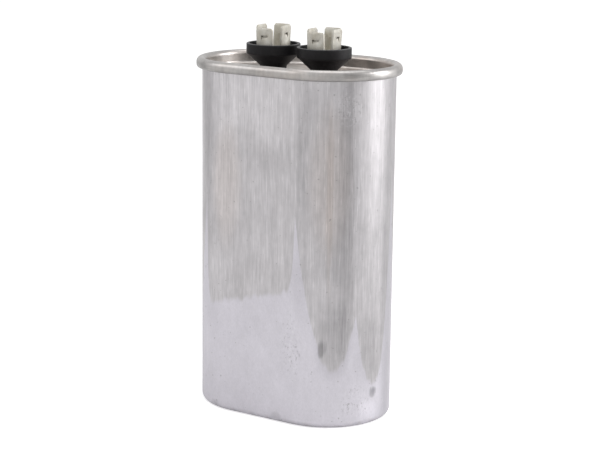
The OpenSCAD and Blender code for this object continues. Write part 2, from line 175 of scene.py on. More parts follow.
class StageSettings(bpy.types.PropertyGroup):
    floor_colour: bpy.props.FloatVectorProperty(
        name="Floor", description="Colour of the plain floor",
        subtype="COLOR", size=3, min=0.0, max=1.0, default=(0.9, 0.9, 0.9))
    lens: bpy.props.FloatProperty(
        name="Lens", description="Focal length of the camera in millimetres",
        default=106.92, min=50.0, max=200.0)


# ---- the stage ----

FLOOR_SIZE, FLOOR_ROUGHNESS = 12.0, 0.9
# How much brighter the floor shows to the camera and in reflections than it is lit
FLOOR_SEEN, FLOOR_MIRRORED = 0.56, 0.2
# The world's own level, and what is added for the rays that see it
WORLD_LEVEL = 0.5
WORLD_MORE = (("Is Camera Ray", 0.52), ("Is Glossy Ray", 0.4), ("Is Transmission Ray", 0.4))
# Name, place, aim, size and power of each soft lamp
LAMPS = (
    ("soft_lamp_right", (0.54, 0.34, 0.30), (0, 0, 0.09), (0.34, 0.5), 2.3),
    ("soft_lamp_left", (-0.68, -0.56, 0.6), (0, 0, 0.06), (0.6, 0.6), 1.6),
    ("soft_lamp_top", (0.0, 0.1, 1.1), (0, 0, 0.1), (0.9, 0.9), 3.0),
)
# Name, bearing from the front in degrees and width of each grey card, and their height and distance
CARDS = (("card_left", -86, 0.10), ("card_right", 68, 0.14))
CARD_HEIGHT, CARD_AWAY, CARD_GREY = 0.44, 0.42, 0.5
# The camera's bearing from the front, rise and roll in degrees; its distance, the height that it aims
# at, and how far it is moved to the right and up
CAMERA_ANGLES = (33.769, 12.195, 0.656)
CAMERA_AWAY, CAMERA_AIM, CAMERA_RIGHT, CAMERA_UP = 0.612815, 0.06, 0.001168, 0.003414
SENSOR_WIDTH, CLIP_START = 36.0, 0.01


# ---- hand tools: what a modeller does at the bench, one step each ----


def deselect():
    if bpy.context.object and bpy.context.object.mode != "OBJECT":
        bpy.ops.object.mode_set(mode="OBJECT")
    bpy.ops.object.select_all(action="DESELECT")


def edit(kind="VERT"):
    bpy.ops.object.mode_set(mode="EDIT")
    bpy.ops.mesh.select_mode(type=kind)


def pick(test, kind="VERT"):
    """Selects the vertices, edges or faces of the piece in hand whose centre passes the test."""
    bpy.ops.object.mode_set(mode="OBJECT")
    mesh = bpy.context.object.data
    for items in (mesh.vertices, mesh.edges, mesh.polygons):
        items.foreach_set("select", [False] * len(items))
    place = bpy.context.object.matrix_world
    verts = [place @ v.co for v in mesh.vertices]
    if kind == "VERT":
        for v, co in zip(mesh.vertices, verts):
            v.select = test(co)
    elif kind == "EDGE":
        for e in mesh.edges:
            a, b = (verts[i] for i in e.vertices)
            e.select = test(a, b)
    else:
        for f in mesh.polygons:
            f.select = test(sum((verts[i] for i in f.vertices), Vector()) / len(f.vertices))
    edit(kind)


def draw_section(name, points, closed):
    """Draws a section as one line, point by point, from a plane merged to its first point."""
    deselect()
    points = [Vector(p) for p in points]
    bpy.ops.mesh.primitive_plane_add(size=MM, location=points[0])
    bpy.context.object.name = bpy.context.object.data.name = name
    bpy.ops.object.transform_apply(location=True)
    edit()
    bpy.ops.mesh.select_all(action="SELECT")
    bpy.ops.mesh.merge(type="CENTER")
    for a, b in zip(points, points[1:]):
        bpy.ops.mesh.extrude_region_move(TRANSFORM_OT_translate={"value": b - a})
    if closed:
        first, last = points[0], points[-1]
        pick(lambda co: (co - first).length < SAME or (co - last).length < SAME)
        bpy.ops.mesh.edge_face_add()
    bpy.ops.mesh.select_all(action="SELECT")


def spin_oval(half_straight, steps):
    """Carries the drawn section, which lies at the back of the right end, once round the oval."""
    for side in (1, -1):
        bpy.ops.mesh.spin(
            steps=steps, angle=math.pi, center=(side * half_straight, 0, 0), axis=(0, 0, 1))
        bpy.ops.mesh.extrude_region_move(
            TRANSFORM_OT_translate={"value": (-side * 2 * half_straight, 0, 0)})
    bpy.ops.mesh.select_all(action="SELECT")
    bpy.ops.mesh.remove_doubles(threshold=MERGED)


def close_with_panel(level, half_straight, end_radius):
    """Fills the open loop on a level, inside the oval, with a flat panel."""
    pick(lambda co: abs(co.z - level) < LEVEL
         and math.hypot(max(abs(co.x) - half_straight, 0), co.y) < end_radius + MERGED)
    bpy.ops.mesh.edge_face_add()


def finish_piece(angle=35.0, stands_for=()):
    """Turns faces outwards, shades them, puts the place in the mesh and rides the piece on its body."""
    bpy.ops.object.mode_set(mode="OBJECT")
    piece = bpy.context.object
    bpy.ops.object.transform_apply(location=True, rotation=True, scale=True)
    edit("FACE")
    bpy.ops.mesh.select_all(action="SELECT")
    bpy.ops.mesh.normals_make_consistent(inside=False)
    bpy.ops.object.mode_set(mode="OBJECT")
    bpy.ops.object.shade_smooth_by_angle(angle=math.radians(angle))
    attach(piece, "root")
    if stands_for:
        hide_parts(*stands_for)
    return piece


def arc(centre, radius, start, end, steps):
    """Points (out, up) on an arc, angles in degrees."""
    angles = [math.radians(start + (end - start) * i / steps) for i in range(steps + 1)]
    return [(centre[0] + radius * math.cos(a), centre[1] + radius * math.sin(a)) for a in angles]


def oval_section(points, end_radius, half_straight):
    """Sets a section (distance out from the case wall, height) at the back of the right end."""
    return [(half_straight, end_radius + out, up) for out, up in points]


def oval_sizes(settings):
    """The radius of the case's round ends, and half the length of its straight sides."""
    end_radius = settings.depth / 2
    return end_radius, (settings.length - settings.depth) / 2


def unroll(piece, end_radius, half_straight):
    """Lays the case wall out flat: across from the middle of the front, up from the foot, in decimetres."""
    mesh = piece.data
    layer = mesh.uv_layers.new(name="unrolled")
    whole = 4 * half_straight + 2 * math.pi * end_radius

    def along(co, centre):
        if abs(centre.x) < half_straight:
            return co.x if centre.y < 0 else whole / 2 - co.x
        turn = math.atan2(max(abs(co.x) - half_straight, 0), -co.y)
        return math.copysign(half_straight + end_radius * turn, centre.x)

    for face in mesh.polygons:
        for loop in face.loop_indices:
            co = mesh.vertices[mesh.loops[loop].vertex_index].co
            layer.data[loop].uv = (along(co, face.center) * MAP_PER_METRE, co.z * MAP_PER_METRE)


# ---- finishes ----


# The range that a noise mostly keeps to, and the sockets of a Mix node that mixes colours
NOISE_RANGE = (0.3, 0.7)
MIX_COLOUR_INPUTS, MIX_COLOUR_OUTPUT = (0, 6, 7), 2


class Finish:
    """A procedural material under construction: each call adds one node and returns its output."""

    def __init__(self, name):
        self.material = bpy.data.materials.new(name)
        self.material.use_nodes = True
        self.nodes = self.material.node_tree.nodes
        self.links = self.material.node_tree.links
        self.shader = self.nodes["Principled BSDF"]

    def add(self, kind, **settings):
        node = self.nodes.new(kind)
        for key, value in settings.items():
            setattr(node, key, value)
        return node

    def feed(self, socket, value):
        if isinstance(value, bpy.types.NodeSocket):
            self.links.new(value, socket)
        elif value is not None:
            if socket.type == "RGBA" and len(value) == 3:
                value = (*value, 1.0)
            socket.default_value = value

    def set(self, **values):
        for key, value in values.items():
            self.feed(self.shader.inputs[key.replace("_", " ")], value)
        return self

    def maths(self, operation, a, b=None, c=None):
        node = self.add("ShaderNodeMath", operation=operation)
        for socket, value in zip(node.inputs, (a, b, c)):
            self.feed(socket, value)
        return node.outputs[0]

    def place(self):
        return self.add("ShaderNodeTexCoord").outputs["Object"]

    def split(self, vector):
        node = self.add("ShaderNodeSeparateXYZ")
        self.feed(node.inputs[0], vector)
        return node.outputs

    def join(self, x, y, z=0.0):
        node = self.add("ShaderNodeCombineXYZ")
        for socket, value in zip(node.inputs, (x, y, z)):
            self.feed(socket, value)
        return node.outputs[0]

    def stretch(self, vector, scale):
        node = self.add("ShaderNodeMapping")
        self.feed(node.inputs["Vector"], vector)
        node.inputs["Scale"].default_value = scale
        return node.outputs[0]

    def noise(self, vector, scale, detail=3.0, rough=0.5):
        node = self.add("ShaderNodeTexNoise")
        self.feed(node.inputs["Vector"], vector)
        node.inputs["Scale"].default_value = scale
        node.inputs["Detail"].default_value = detail
        node.inputs["Roughness"].default_value = rough
        return node.outputs[0]

    def spread(self, value, low, high, to_low=0.0, to_high=1.0, smooth=False):
        node = self.add("ShaderNodeMapRange", interpolation_type="SMOOTHSTEP" if smooth else "LINEAR")
        for socket, number in zip(node.inputs, (value, low, high, to_low, to_high)):
            self.feed(socket, number)
        return node.outputs[0]

    def sway(self, noise, low, high):
        """Spreads the usual range of a noise between two values."""
        return self.spread(noise, *NOISE_RANGE, low, high)

    def mix(self, amount, a, b, blend="MIX"):
        node = self.add("ShaderNodeMix", data_type="RGBA", blend_type=blend)
        for index, value in zip(MIX_COLOUR_INPUTS, (amount, a, b)):
            self.feed(node.inputs[index], value)
        return node.outputs[MIX_COLOUR_OUTPUT]

    def times(self, a, b):
        return self.mix(1.0, a, b, "MULTIPLY")

    def bump(self, height, strength, distance, after=None):
        node = self.add("ShaderNodeBump")
        node.inputs["Strength"].default_value = strength
        node.inputs["Distance"].default_value = distance
        self.feed(node.inputs["Height"], height)
        if after is not None:
            self.feed(node.inputs["Normal"], after)
        return node.outputs[0]


# Broad fields at the front and round the back, down to which the wall is ironed: middle across, half
# width and height in millimetres, and slope. Their ends rise steeply.
FIELDS = (
    (-5.0, 19.8, 41.3, 0.26),
    (95.3, 19.8, 43.0, 0.12),
    (-95.3, 19.8, 43.0, 0.12),
)
FIELD_POWER, FIELD_RISE = 26.0, 60.0

# Tongues that the ironed area hangs down in: middle across, height of the tip, steepness on the
# left and the right of the tip, power of its sides; across and up in millimetres
TONGUES = (
    (28.0, 19.6, 0.27, 0.33, 2.0),
    (43.3, 14.4, 0.105, 0.16, 2.65),
    (-37.0, 26.0, 0.20, 0.24, 2.1),
    (-52.0, 18.0, 0.22, 0.16, 2.2),
    (-67.0, 24.0, 0.20, 0.20, 2.1),
    (66.0, 27.0, 0.2, 0.18, 2.2),
)

# Soft stains and rubbed places on the wall, and painted shade and painted highlights on its reflections:
# middle across and up, half width and half height in millimetres, brightness and warmth against the metal
# round them
STAINS_AND_PAINTED_LIGHT = (
    (17.6, 92.0, 3.2, 36.0, 0.90, 1.0),
    (15.4, 90.0, 1.1, 34.0, 0.90, 1.0),
    (31.5, 76.0, 4.6, 52.0, 0.89, 1.0),
    (32.8, 84.0, 1.1, 50.0, 0.90, 1.0),
    (26.0, 78.0, 1.6, 40.0, 0.92, 1.03),
    (24.0, 84.0, 9.0, 44.0, 0.94, 1.0),
    (24.0, 28.0, 1.5, 4.4, 0.60, 1.0),
    (43.4, 12.0, 1.9, 2.0, 0.58, 1.0),
    (30.0, 47.0, 8.0, 27.0, 0.90, 1.0),
    (28.0, 31.0, 7.5, 17.0, 0.82, 1.0),
    (3.0, 91.0, 15.0, 9.0, 0.94, 1.0),
    (16.0, 52.0, 4.0, 16.0, 0.92, 1.0),
    (-14.0, 80.0, 8.0, 26.0, 1.02, 1.03),
    (26.0, 84.0, 9.0, 30.0, 1.0, 1.03),
    (-2.0, 110.0, 27.0, 20.0, 1.15, 1.0),
    # painted shade and painted highlight on the reflected band of the right end: dimmer at its peak, towards
    # the foot and round the end, brighter near the foot
    (44.6, 102.0, 3.0, 34.0, 0.93, 1.0),
    (43.0, 60.0, 8.5, 38.0, 0.89, 1.0),
    (41.0, 25.0, 8.0, 16.0, 0.86, 1.0),
    (52.0, 50.0, 7.0, 80.0, 0.76, 1.0),
    (41.0, 6.0, 5.5, 5.0, 1.13, 1.0),
    (-19.0, 1.5, 2.2, 1.6, 0.80, 1.0),
    (7.0, 2.0, 3.0, 2.0, 0.86, 1.0),
    # painted shade and painted highlight at the left end: darker below mid-height, brighter towards the top
    (-34.0, 22.0, 6.0, 50.0, 0.74, 1.0),
    (-32.0, 98.0, 6.0, 40.0, 1.22, 1.0),
)

# Places where the wall is pitted and scuffed: middle across and up, half width and half height, in
# millimetres
PITTED = (
    (13.0, 28.0, 5.0, 15.0),
    (36.0, 9.0, 7.0, 7.0),
    (-31.0, 29.0, 5.0, 6.0),
    (32.0, 108.0, 6.0, 9.0),
)

# Noises of the wall, drawn out along it: steps across and up in each metre, detail and roughness
WALL_NOISES = {
    "ragged": ((600, 600, 80), 4.0, 0.5),
    "fine": ((2300, 2300, 90), 5.0, 0.62),
    "strands": ((950, 950, 40), 3.0, 0.55),
    "broad": ((220, 220, 11), 3.0, 0.5),
    "cloud": ((90, 90, 70), 3.0, 0.6),
    "scratch": ((2600, 2600, 150), 3.0, 0.55),
    "mottle": ((500, 500, 280), 3.0, 0.6),
    "grain": ((1900, 1900, 1200), 3.0, 0.6),
    "speck": ((900, 900, 900), 1.0, 0.5),
    "pits": ((1300, 1300, 900), 3.0, 0.6),
    "foot": ((400, 400, 300), 3.0, 0.5),
}
# Colours of what lies on the metal
SPECK_COLOUR, PIT_COLOUR, SCUFF_COLOUR = (0.25, 0.24, 0.24), (0.22, 0.21, 0.22), (0.75, 0.74, 0.76)
# colour of the darker line round the foot
FOOT_COLOUR = (0.25, 0.24, 0.25)


def drawn_aluminium(settings):
    f = Finish("drawn_aluminium")
    uv = f.add("ShaderNodeUVMap", uv_map="unrolled").outputs[0]
    run, rise, _ = f.split(uv)
    s = f.maths("MULTIPLY", run, MM_PER_MAP)
    z = f.maths("MULTIPLY", rise, MM_PER_MAP)
    place = f.place()
    noise = {name: f.noise(f.stretch(place, steps), 1.0, detail, rough)
             for name, (steps, detail, rough) in WALL_NOISES.items()}
    # ragged edge of the ironed area
    z_ragged = f.maths("ADD", z, f.sway(noise["ragged"], -1.0, 1.0))
    edge = None
    for middle, half, level, slope in FIELDS:
        off = f.maths("SUBTRACT", s, middle)
        side = f.maths("POWER", f.maths("DIVIDE", f.maths("ABSOLUTE", off), half), FIELD_POWER)
        level_z = f.maths("MULTIPLY_ADD", off, slope, level)
        curve = f.maths("MULTIPLY_ADD", side, FIELD_RISE, level_z)
        edge = curve if edge is None else f.maths("MINIMUM", edge, curve)
    for middle, tip, left, right, power in TONGUES:
        off = f.maths("SUBTRACT", s, middle)
        steep = f.spread(off, -0.5, 0.5, left, right)
        curve = f.maths("MULTIPLY_ADD", f.maths("POWER", f.maths("ABSOLUTE", off), power), steep, tip)
        edge = f.maths("MINIMUM", edge, curve)
    above = f.maths("SUBTRACT", z_ragged, edge)
    ironed = f.spread(above, -0.8, 1.6, 0.0, 1.0, smooth=True)
    # fibres, short bright scratches and broad streaks up the wall
    fine, cloud, grain = noise["fine"], noise["cloud"], noise["grain"]
    level = f.sway(fine, 0.88, 1.12)
    level = f.maths("MULTIPLY", level, f.spread(noise["broad"], 0.34, 0.66, 0.95, 1.05))
    level = f.maths("MULTIPLY", level, f.spread(noise["strands"], 0.34, 0.66, 0.95, 1.05))
    level = f.maths("ADD", level, f.spread(noise["scratch"], 0.58, 0.70, 0.0, 0.2))
    streaked = f.times(settings.streaked_colour, level)
    plain = f.times(settings.smooth_colour, f.sway(grain, 0.96, 1.04))
    colour = f.mix(ironed, plain, streaked)
    # clouding, stronger where the metal is ironed
    mottling = f.maths("ADD", f.sway(noise["mottle"], -0.05, 0.05), f.sway(cloud, -0.07, 0.07))
    mottling = f.maths("MULTIPLY_ADD", mottling, f.spread(ironed, 0.0, 1.0, 0.45, 1.0), 1.0)
    colour = f.times(colour, mottling)
    # stains, and painted shade and painted highlights on the wall's reflections, with broken edges
    s_broken = f.maths("ADD", s, f.sway(fine, -0.7, 0.7))
    z_broken = f.maths("ADD", z, f.sway(cloud, -2.0, 2.0))

    def patch(across, up, half_across, half_up):
        away_s = f.maths("DIVIDE", f.maths("SUBTRACT", s_broken, across), half_across)
        away_z = f.maths("DIVIDE", f.maths("SUBTRACT", z_broken, up), half_up)
        away = f.maths("MULTIPLY_ADD", away_s, away_s, f.maths("MULTIPLY", away_z, away_z))
        return f.spread(away, 0.0, 1.0, 1.0, 0.0, smooth=True)

    shade = warmth = 1.0
    for across, up, half_across, half_up, bright, warm in STAINS_AND_PAINTED_LIGHT:
        here = patch(across, up, half_across, half_up)
        shade = f.maths("MULTIPLY", shade, f.maths("MULTIPLY_ADD", here, bright - 1.0, 1.0))
        if warm != 1.0:
            warmth = f.maths("MULTIPLY", warmth, f.maths("MULTIPLY_ADD", here, warm - 1.0, 1.0))
    colour = f.times(colour, shade)
    colour = f.times(colour, f.join(warmth, 1.0, f.maths("DIVIDE", 1.0, warmth)))
    # specks, pits and scuffs, and a broken darker line round the foot
    speck = f.spread(noise["speck"], 0.72, 0.77)
    colour = f.mix(f.maths("MULTIPLY", speck, 0.5), colour, SPECK_COLOUR)
    worn = None
    for spot in PITTED:
        here = patch(*spot)
        worn = here if worn is None else f.maths("MAXIMUM", worn, here)
    for start, end, strength, below in ((0.58, 0.67, 0.5, PIT_COLOUR), (0.43, 0.35, 0.4, SCUFF_COLOUR)):
        spot = f.maths("MULTIPLY", f.spread(noise["pits"], start, end), f.maths("MULTIPLY", worn, strength))
        colour = f.mix(spot, colour, below)
    foot = f.maths("MULTIPLY", f.spread(z, 0.6, 2.4, 1.0, 0.0, smooth=True),
                   f.spread(noise["foot"], 0.42, 0.66, 0.15, 1.0))
    colour = f.mix(f.maths("MULTIPLY", foot, 0.45), colour, FOOT_COLOUR)
    rough = f.spread(ironed, 0.0, 1.0, 0.44, 0.36)
    rough = f.maths("ADD", rough, f.sway(cloud, 0.03, -0.03))
    relief = f.bump(f.maths("MULTIPLY", fine, ironed), 0.25, 0.00005)
    relief = f.bump(grain, 0.15, 0.00004, relief)
    relief = f.bump(cloud, 0.35, 0.0003, relief)
    f.set(Base_Color=colour, Roughness=rough, Metallic=1.0, Normal=relief)
    return f.material


def rolled_aluminium(settings, end_radius, half_straight):
    f = Finish("rolled_aluminium")
    place = f.place()
    x, y, z = f.split(place)
    # distance out from the case wall, height below the top of the seam
    past = f.maths("MAXIMUM", f.maths("SUBTRACT", f.maths("ABSOLUTE", x), half_straight), 0.0)
    reach = f.maths("SQRT", f.maths("MULTIPLY_ADD", past, past, f.maths("MULTIPLY", y, y)))
    out = f.maths("SUBTRACT", reach, end_radius)
    below = f.maths("SUBTRACT", COVER[1].z, z)
    cloud = f.noise(place, 60.0, 4.0, 0.55)
    mottle = f.noise(place, 320.0, 4.0, 0.6)
    brushed = f.noise(f.stretch(place, (900, 900, 110)), 1.0, 4.0, 0.6)
    scratch = f.noise(f.stretch(place, (300, 40, 900)), 1.0, 4.0, 0.6)
    colour = f.times(settings.colour, f.sway(cloud, 0.84, 1.14))
    colour = f.times(colour, f.sway(mottle, 0.88, 1.12))
    colour = f.times(colour, f.sway(brushed, 0.93, 1.07))
    # a brown tint in the recess, more towards its right end, and painted shade along the lower edge of the
    # seam
    inside = f.spread(out, -0.5 * MM, -1.3 * MM)
    tint = f.mix(f.spread(x, -20 * MM, 25 * MM), (1.13, 1.11, 1.09), (1.28, 1.20, 1.14))
    colour = f.mix(inside, colour, f.times(colour, tint))
    stained = f.spread(f.noise(place, 95.0, 3.0), 0.5, 0.68, 0.0, 0.7)
    colour = f.mix(stained, colour, f.times(colour, (1.0, 0.95, 0.92)))
    # painted shade and painted reflection: the seam's outer face darker towards its lower edge
    edge = f.maths("MULTIPLY", f.spread(out, 0.2 * MM, 0.8 * MM),
                   f.spread(below, 2.3 * MM, 3.5 * MM, 0.0, 0.42))
    colour = f.mix(edge, colour, (0.12, 0.115, 0.115))
    colour = f.mix(f.spread(scratch, 0.62, 0.72, 0.0, 0.3), colour, (0.3, 0.28, 0.27))
    rough = f.sway(cloud, 0.27, 0.4)
    relief = f.bump(scratch, 0.2, 0.00004)
    relief = f.bump(mottle, 0.3, 0.00008, relief)
    relief = f.bump(cloud, 0.4, 0.0002, relief)
    f.set(Base_Color=colour, Roughness=rough, Metallic=1.0, Normal=relief)
    return f.material


def black_moulding(settings, rim_height):
    f = Finish("black_moulding")
    place = f.place()
    up = f.split(place)[2]
    grain = f.noise(place, 1800.0, 3.0, 0.6)
    haze = f.noise(place, 160.0, 3.0)
    rubbed = f.spread(up, rim_height - 0.3 * MM, rim_height - 0.05 * MM, smooth=True)
    rubbed = f.maths("MULTIPLY", rubbed, f.spread(haze, 0.35, 0.65, 0.35, 1.0))
    colour = f.mix(f.spread(haze, 0.4, 0.7), settings.moulding_colour,
                   f.times(settings.moulding_colour, (1.7, 1.7, 1.75)))
    colour = f.mix(rubbed, colour, (0.11, 0.11, 0.115))
    rough = f.sway(haze, 0.42, 0.56)
    f.set(Base_Color=colour, Roughness=rough, Specular_IOR_Level=0.24, Normal=f.bump(grain, 0.2, 0.00003))
    return f.material


def tin_plate(settings):
    f = Finish("tin_plate")
    place = f.place()
    cloud = f.noise(place, 350.0, 4.0, 0.55)
    drawn = f.noise(f.stretch(place, (2500, 2500, 160)), 1.0, 3.0, 0.6)
    speck = f.spread(f.noise(place, 1500.0, 2.0), 0.66, 0.72, 0.0, 0.45)
    dull = f.times(settings.tin_colour, (0.82, 0.79, 0.73))
    colour = f.mix(f.spread(cloud, 0.35, 0.7), settings.tin_colour, dull)
    colour = f.times(colour, f.sway(drawn, 0.93, 1.07))
    colour = f.mix(speck, colour, (0.2, 0.18, 0.15))
    # painted shade: darker in the corners, slots and other closed-in spots of the tabs and rivets
    corner = f.add("ShaderNodeAmbientOcclusion", samples=16, only_local=True)
    corner.inputs["Distance"].default_value = 0.9 * MM
    colour = f.mix(f.spread(corner.outputs["AO"], 0.6, 0.3), colour, (0.03, 0.025, 0.02))
    rough = f.sway(drawn, 0.34, 0.48)
    f.set(Base_Color=colour, Roughness=rough, Metallic=0.2, Normal=f.bump(drawn, 0.15, 0.00003))
    return f.material


def plain_finish(name, colour, metallic=0.0, roughness=0.5, grain=900.0, stretch=(1, 1, 1),
                 depth=0.00004, contrast=0.18, transmission=0.0):
    """Cloudy colour, grain and a little relief, for the pieces inside the case."""
    f = Finish(name)
    place = f.stretch(f.place(), stretch)
    cloud = f.noise(place, 120.0, 3.0)
    fine = f.noise(place, grain, 3.0, 0.6)
    dark, darker = (tuple(c * (1 - amount) for c in colour) for amount in (contrast, 2 * contrast))
    mixed = f.mix(f.spread(cloud, 0.35, 0.65), colour, dark)
    mixed = f.mix(f.spread(fine, 0.55, 0.75, 0.0, 0.35), mixed, darker)
    f.set(Base_Color=mixed, Metallic=metallic, Transmission_Weight=transmission,
          Roughness=f.sway(fine, roughness - 0.06, roughness + 0.06), Normal=f.bump(fine, 0.3, depth))
    return f.material


def close_slots(node, floor_z):
    """Sets a thin web in the slot of each lance of a sheet, just short of the sheet's inner face.

    The web reaches a little into the metal round the slot.
    """
    low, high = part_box(node)
    axis_x = math.copysign((CUPS["right"][0].x + CUPS["right"][1].x) / 2, low.x + high.x)
    upper = node.startswith("upper")
    turn = TAB_TURN + (math.pi if upper else 0.0)
    web, seat, short = 0.12 * MM, 0.05 * MM, 0.02 * MM
    lift = TAB_T if upper else 0.0
    sheet = Matrix.Translation((axis_x, 0, floor_z + lift)) @ Matrix.Rotation(turn, 4, "Z")
    edit()
    for way, reach, shift, slots in TABS:
        fold = Matrix.Translation((0, reach - TAB_T - TAB_BEND, TAB_T + TAB_BEND))
        blade = Matrix.Rotation(way, 4, "Z") @ fold @ Matrix.Rotation(-TAB_LEAN, 4, "X")
        middle = Vector((shift, TAB_BEND + web / 2 + short, slots[upper] + SLOT_H / 2))
        place = sheet @ blade
        # the web closes the slot, so that the slot shows the tin's painted shade instead of what lies behind
        # it
        bpy.ops.mesh.primitive_cube_add(
            size=1.0, location=place @ middle, rotation=place.to_euler(),
            scale=(SLOT_W + 2 * seat, web, SLOT_H + 2 * seat))
    bpy.ops.object.mode_set(mode="OBJECT")


def dress(objects, material):
    for item in objects:
        item.data.materials.clear()
        item.data.materials.append(material)


# ---- operators: one for each piece or group of like pieces ----


class CAPACITOR_OT_case(bpy.types.Operator):
    """Draws the case's section and carries it round the oval"""
    bl_idname = "capacitor.case"
    bl_label = "Case"

    def execute(self, context):
        case, cover = context.scene.capacitor_case, context.scene.capacitor_cover
        end_radius, half = oval_sizes(case)
        wall, foot = case.wall, case.foot_radius
        bend = cover.sheet / 2 + cover.seam_gap
        roll_z = COVER[1].z - (bend + wall + cover.seam_gap) - cover.sheet
        points = arc((-foot, foot), foot, -90, 0, 10)
        points += [(0.0, foot + (roll_z - foot) * i / 40) for i in range(1, 41)]
        points += arc((bend, roll_z), bend, 180, 0, 8)[1:]
        flange_z = COVER[1].z - cover.seam_height + 2 * wall + cover.sheet
        points += [(2 * bend, flange_z), (2 * bend + wall, flange_z)]
        points += arc((bend, roll_z), bend + wall, 0, 180, 10)
        points += [(-wall, foot)]
        points += arc((-foot, foot), foot - wall, 0, -90, 8)[1:]
        draw_section("drawn_case", oval_section(points, end_radius, half), closed=False)
        spin_oval(half, CASE_STEPS)
        for level in (0.0, wall):
            close_with_panel(level, half, end_radius - foot)
        piece = finish_piece(stands_for=("can",))
        unroll(piece, end_radius, half)
        dress([piece], drawn_aluminium(case))
        return {"FINISHED"}


class CAPACITOR_OT_cover(bpy.types.Operator):
    """Draws the folded section of the seam with the recess wall and closes it with the panel"""
    bl_idname = "capacitor.cover"
    bl_label = "Seamed cover"

    def execute(self, context):
        case, cover = context.scene.capacitor_case, context.scene.capacitor_cover
        end_radius, half = oval_sizes(case)
        t, gap, wall = cover.sheet, cover.seam_gap, case.wall
        bend = t / 2 + gap
        roll = bend + wall + gap
        curl = wall / 2 + gap
        curl_u = bend + roll - curl
        top = COVER[1].z
        roll_z = top - roll - t
        curl_z = top - cover.seam_height + curl + t
        inner_u = -wall - gap - t
        panel_z = top - cover.recess
        foot_z = panel_z + cover.recess_radius
        foot_u = inner_u - cover.recess_radius
        # the crown's circle touches both folds from outside
        upper, lower = Vector((bend, roll_z)), Vector((curl_u, curl_z))
        upper_r = cover.crown_radius - roll - t
        lower_r = cover.crown_radius - curl - t
        span = (lower - upper).length
        towards = (lower - upper) / span
        along = (upper_r ** 2 - lower_r ** 2 + span ** 2) / (2 * span)
        aside = math.sqrt(upper_r ** 2 - along ** 2)
        crown = upper + along * towards + aside * Vector((towards.y, -towards.x))

        def bearing(centre):
            away = centre - crown
            return math.degrees(math.atan2(away.y, away.x))

        points = arc((foot_u, foot_z), cover.recess_radius, -90, 0, 8)
        points += arc(upper, roll + t, 180, bearing(upper), 18)
        points += arc(crown, cover.crown_radius, bearing(upper), bearing(lower), 12)[1:]
        points += arc(lower, curl + t, bearing(lower), -180, 14)[1:]
        points += [(gap, roll_z - gap), (gap + t, roll_z - gap)]
        points += arc(lower, curl, 180, 360, 8)
        points += arc(upper, roll, 0, 180, 14)
        points += arc((foot_u, foot_z), cover.recess_radius + t, 0, -90, 8)
        draw_section("seamed_cover", oval_section(points, end_radius, half), closed=False)
        spin_oval(half, COVER_STEPS)
        for level in (panel_z, panel_z - t):
            close_with_panel(level, half, end_radius + foot_u)
        piece = finish_piece(stands_for=("cover",))
        dress([piece], rolled_aluminium(cover, end_radius, half))
        return {"FINISHED"}


class CAPACITOR_OT_cups(bpy.types.Operator):
    """Spins the cup's section once and sets a copy of it on the other terminal"""
    bl_idname = "capacitor.cups"
    bl_label = "Terminal cups"

    def execute(self, context):
        terminal = context.scene.capacitor_terminal
        low, high = CUPS["left"]
        axis_x = (low.x + high.x) / 2
        radius = (high.x - low.x) / 2
        rim = high.z
        band_z = rim - terminal.band
        neck_z = band_z - terminal.taper
        floor_z = rim - terminal.cup_depth
        lip = terminal.cup_wall * 0.22
        inner = radius - terminal.cup_wall
        neck = terminal.neck / 2
        # radii of the spigot and its bore, thickness of the ring under the neck, roundings
        spigot, bore, ring = 3.1 * MM, 1.65 * MM, 0.8 * MM
        foot, corner = 0.15 * MM, 0.35 * MM
        foot_z = COVER[1].z - context.scene.capacitor_cover.recess + ring
        # spigot, neck, taper and band
        points = [(bore, low.z), (spigot, low.z), (spigot, foot_z)]
        points += arc((neck - foot, foot_z + foot), foot, -90, 0, 3)
        points += [(neck, neck_z - 0.2 * MM), (neck + 0.08 * MM, neck_z + 0.05 * MM)]
        points += [(radius - 0.42 * MM, band_z - 0.4 * MM)]
        points += arc((radius - corner, band_z + 0.05 * MM), corner, -50, 0, 4)
        points += [(radius, band_z + 0.5 * MM)]
        # lip, inner wall and floor
        points += arc((radius - lip, rim - lip), lip, 0, 90, 5)
        points += arc((inner + lip, rim - lip), lip, 90, 180, 5)
        points += [(inner, floor_z + 1.6 * MM)]
        points += [(inner - 0.2 * MM, floor_z + 1.2 * MM), (inner - 1.0 * MM, floor_z + 0.15 * MM)]
        points += [(inner - 1.3 * MM, floor_z), (bore, floor_z)]
        draw_section("cup_left", [(axis_x + out, 0.0, up) for out, up in points], closed=True)
        bpy.ops.mesh.spin(steps=CUP_STEPS, angle=2 * math.pi, center=(axis_x, 0, 0), axis=(0, 0, 1))
        bpy.ops.mesh.select_all(action="SELECT")
        bpy.ops.mesh.remove_doubles(threshold=MERGED)
        left = finish_piece(angle=30.0, stands_for=("terminal_cup_left",))
        deselect()
        left.select_set(True)
        context.view_layer.objects.active = left
        bpy.ops.object.duplicate(linked=False)
        right = context.object
        right.name = right.data.name = "cup_right"
        right.data.transform(Matrix.Translation((-2 * axis_x, 0, 0)))
        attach(right, "root")
        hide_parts("terminal_cup_right")
        dress([left, right], black_moulding(terminal, rim))
        return {"FINISHED"}


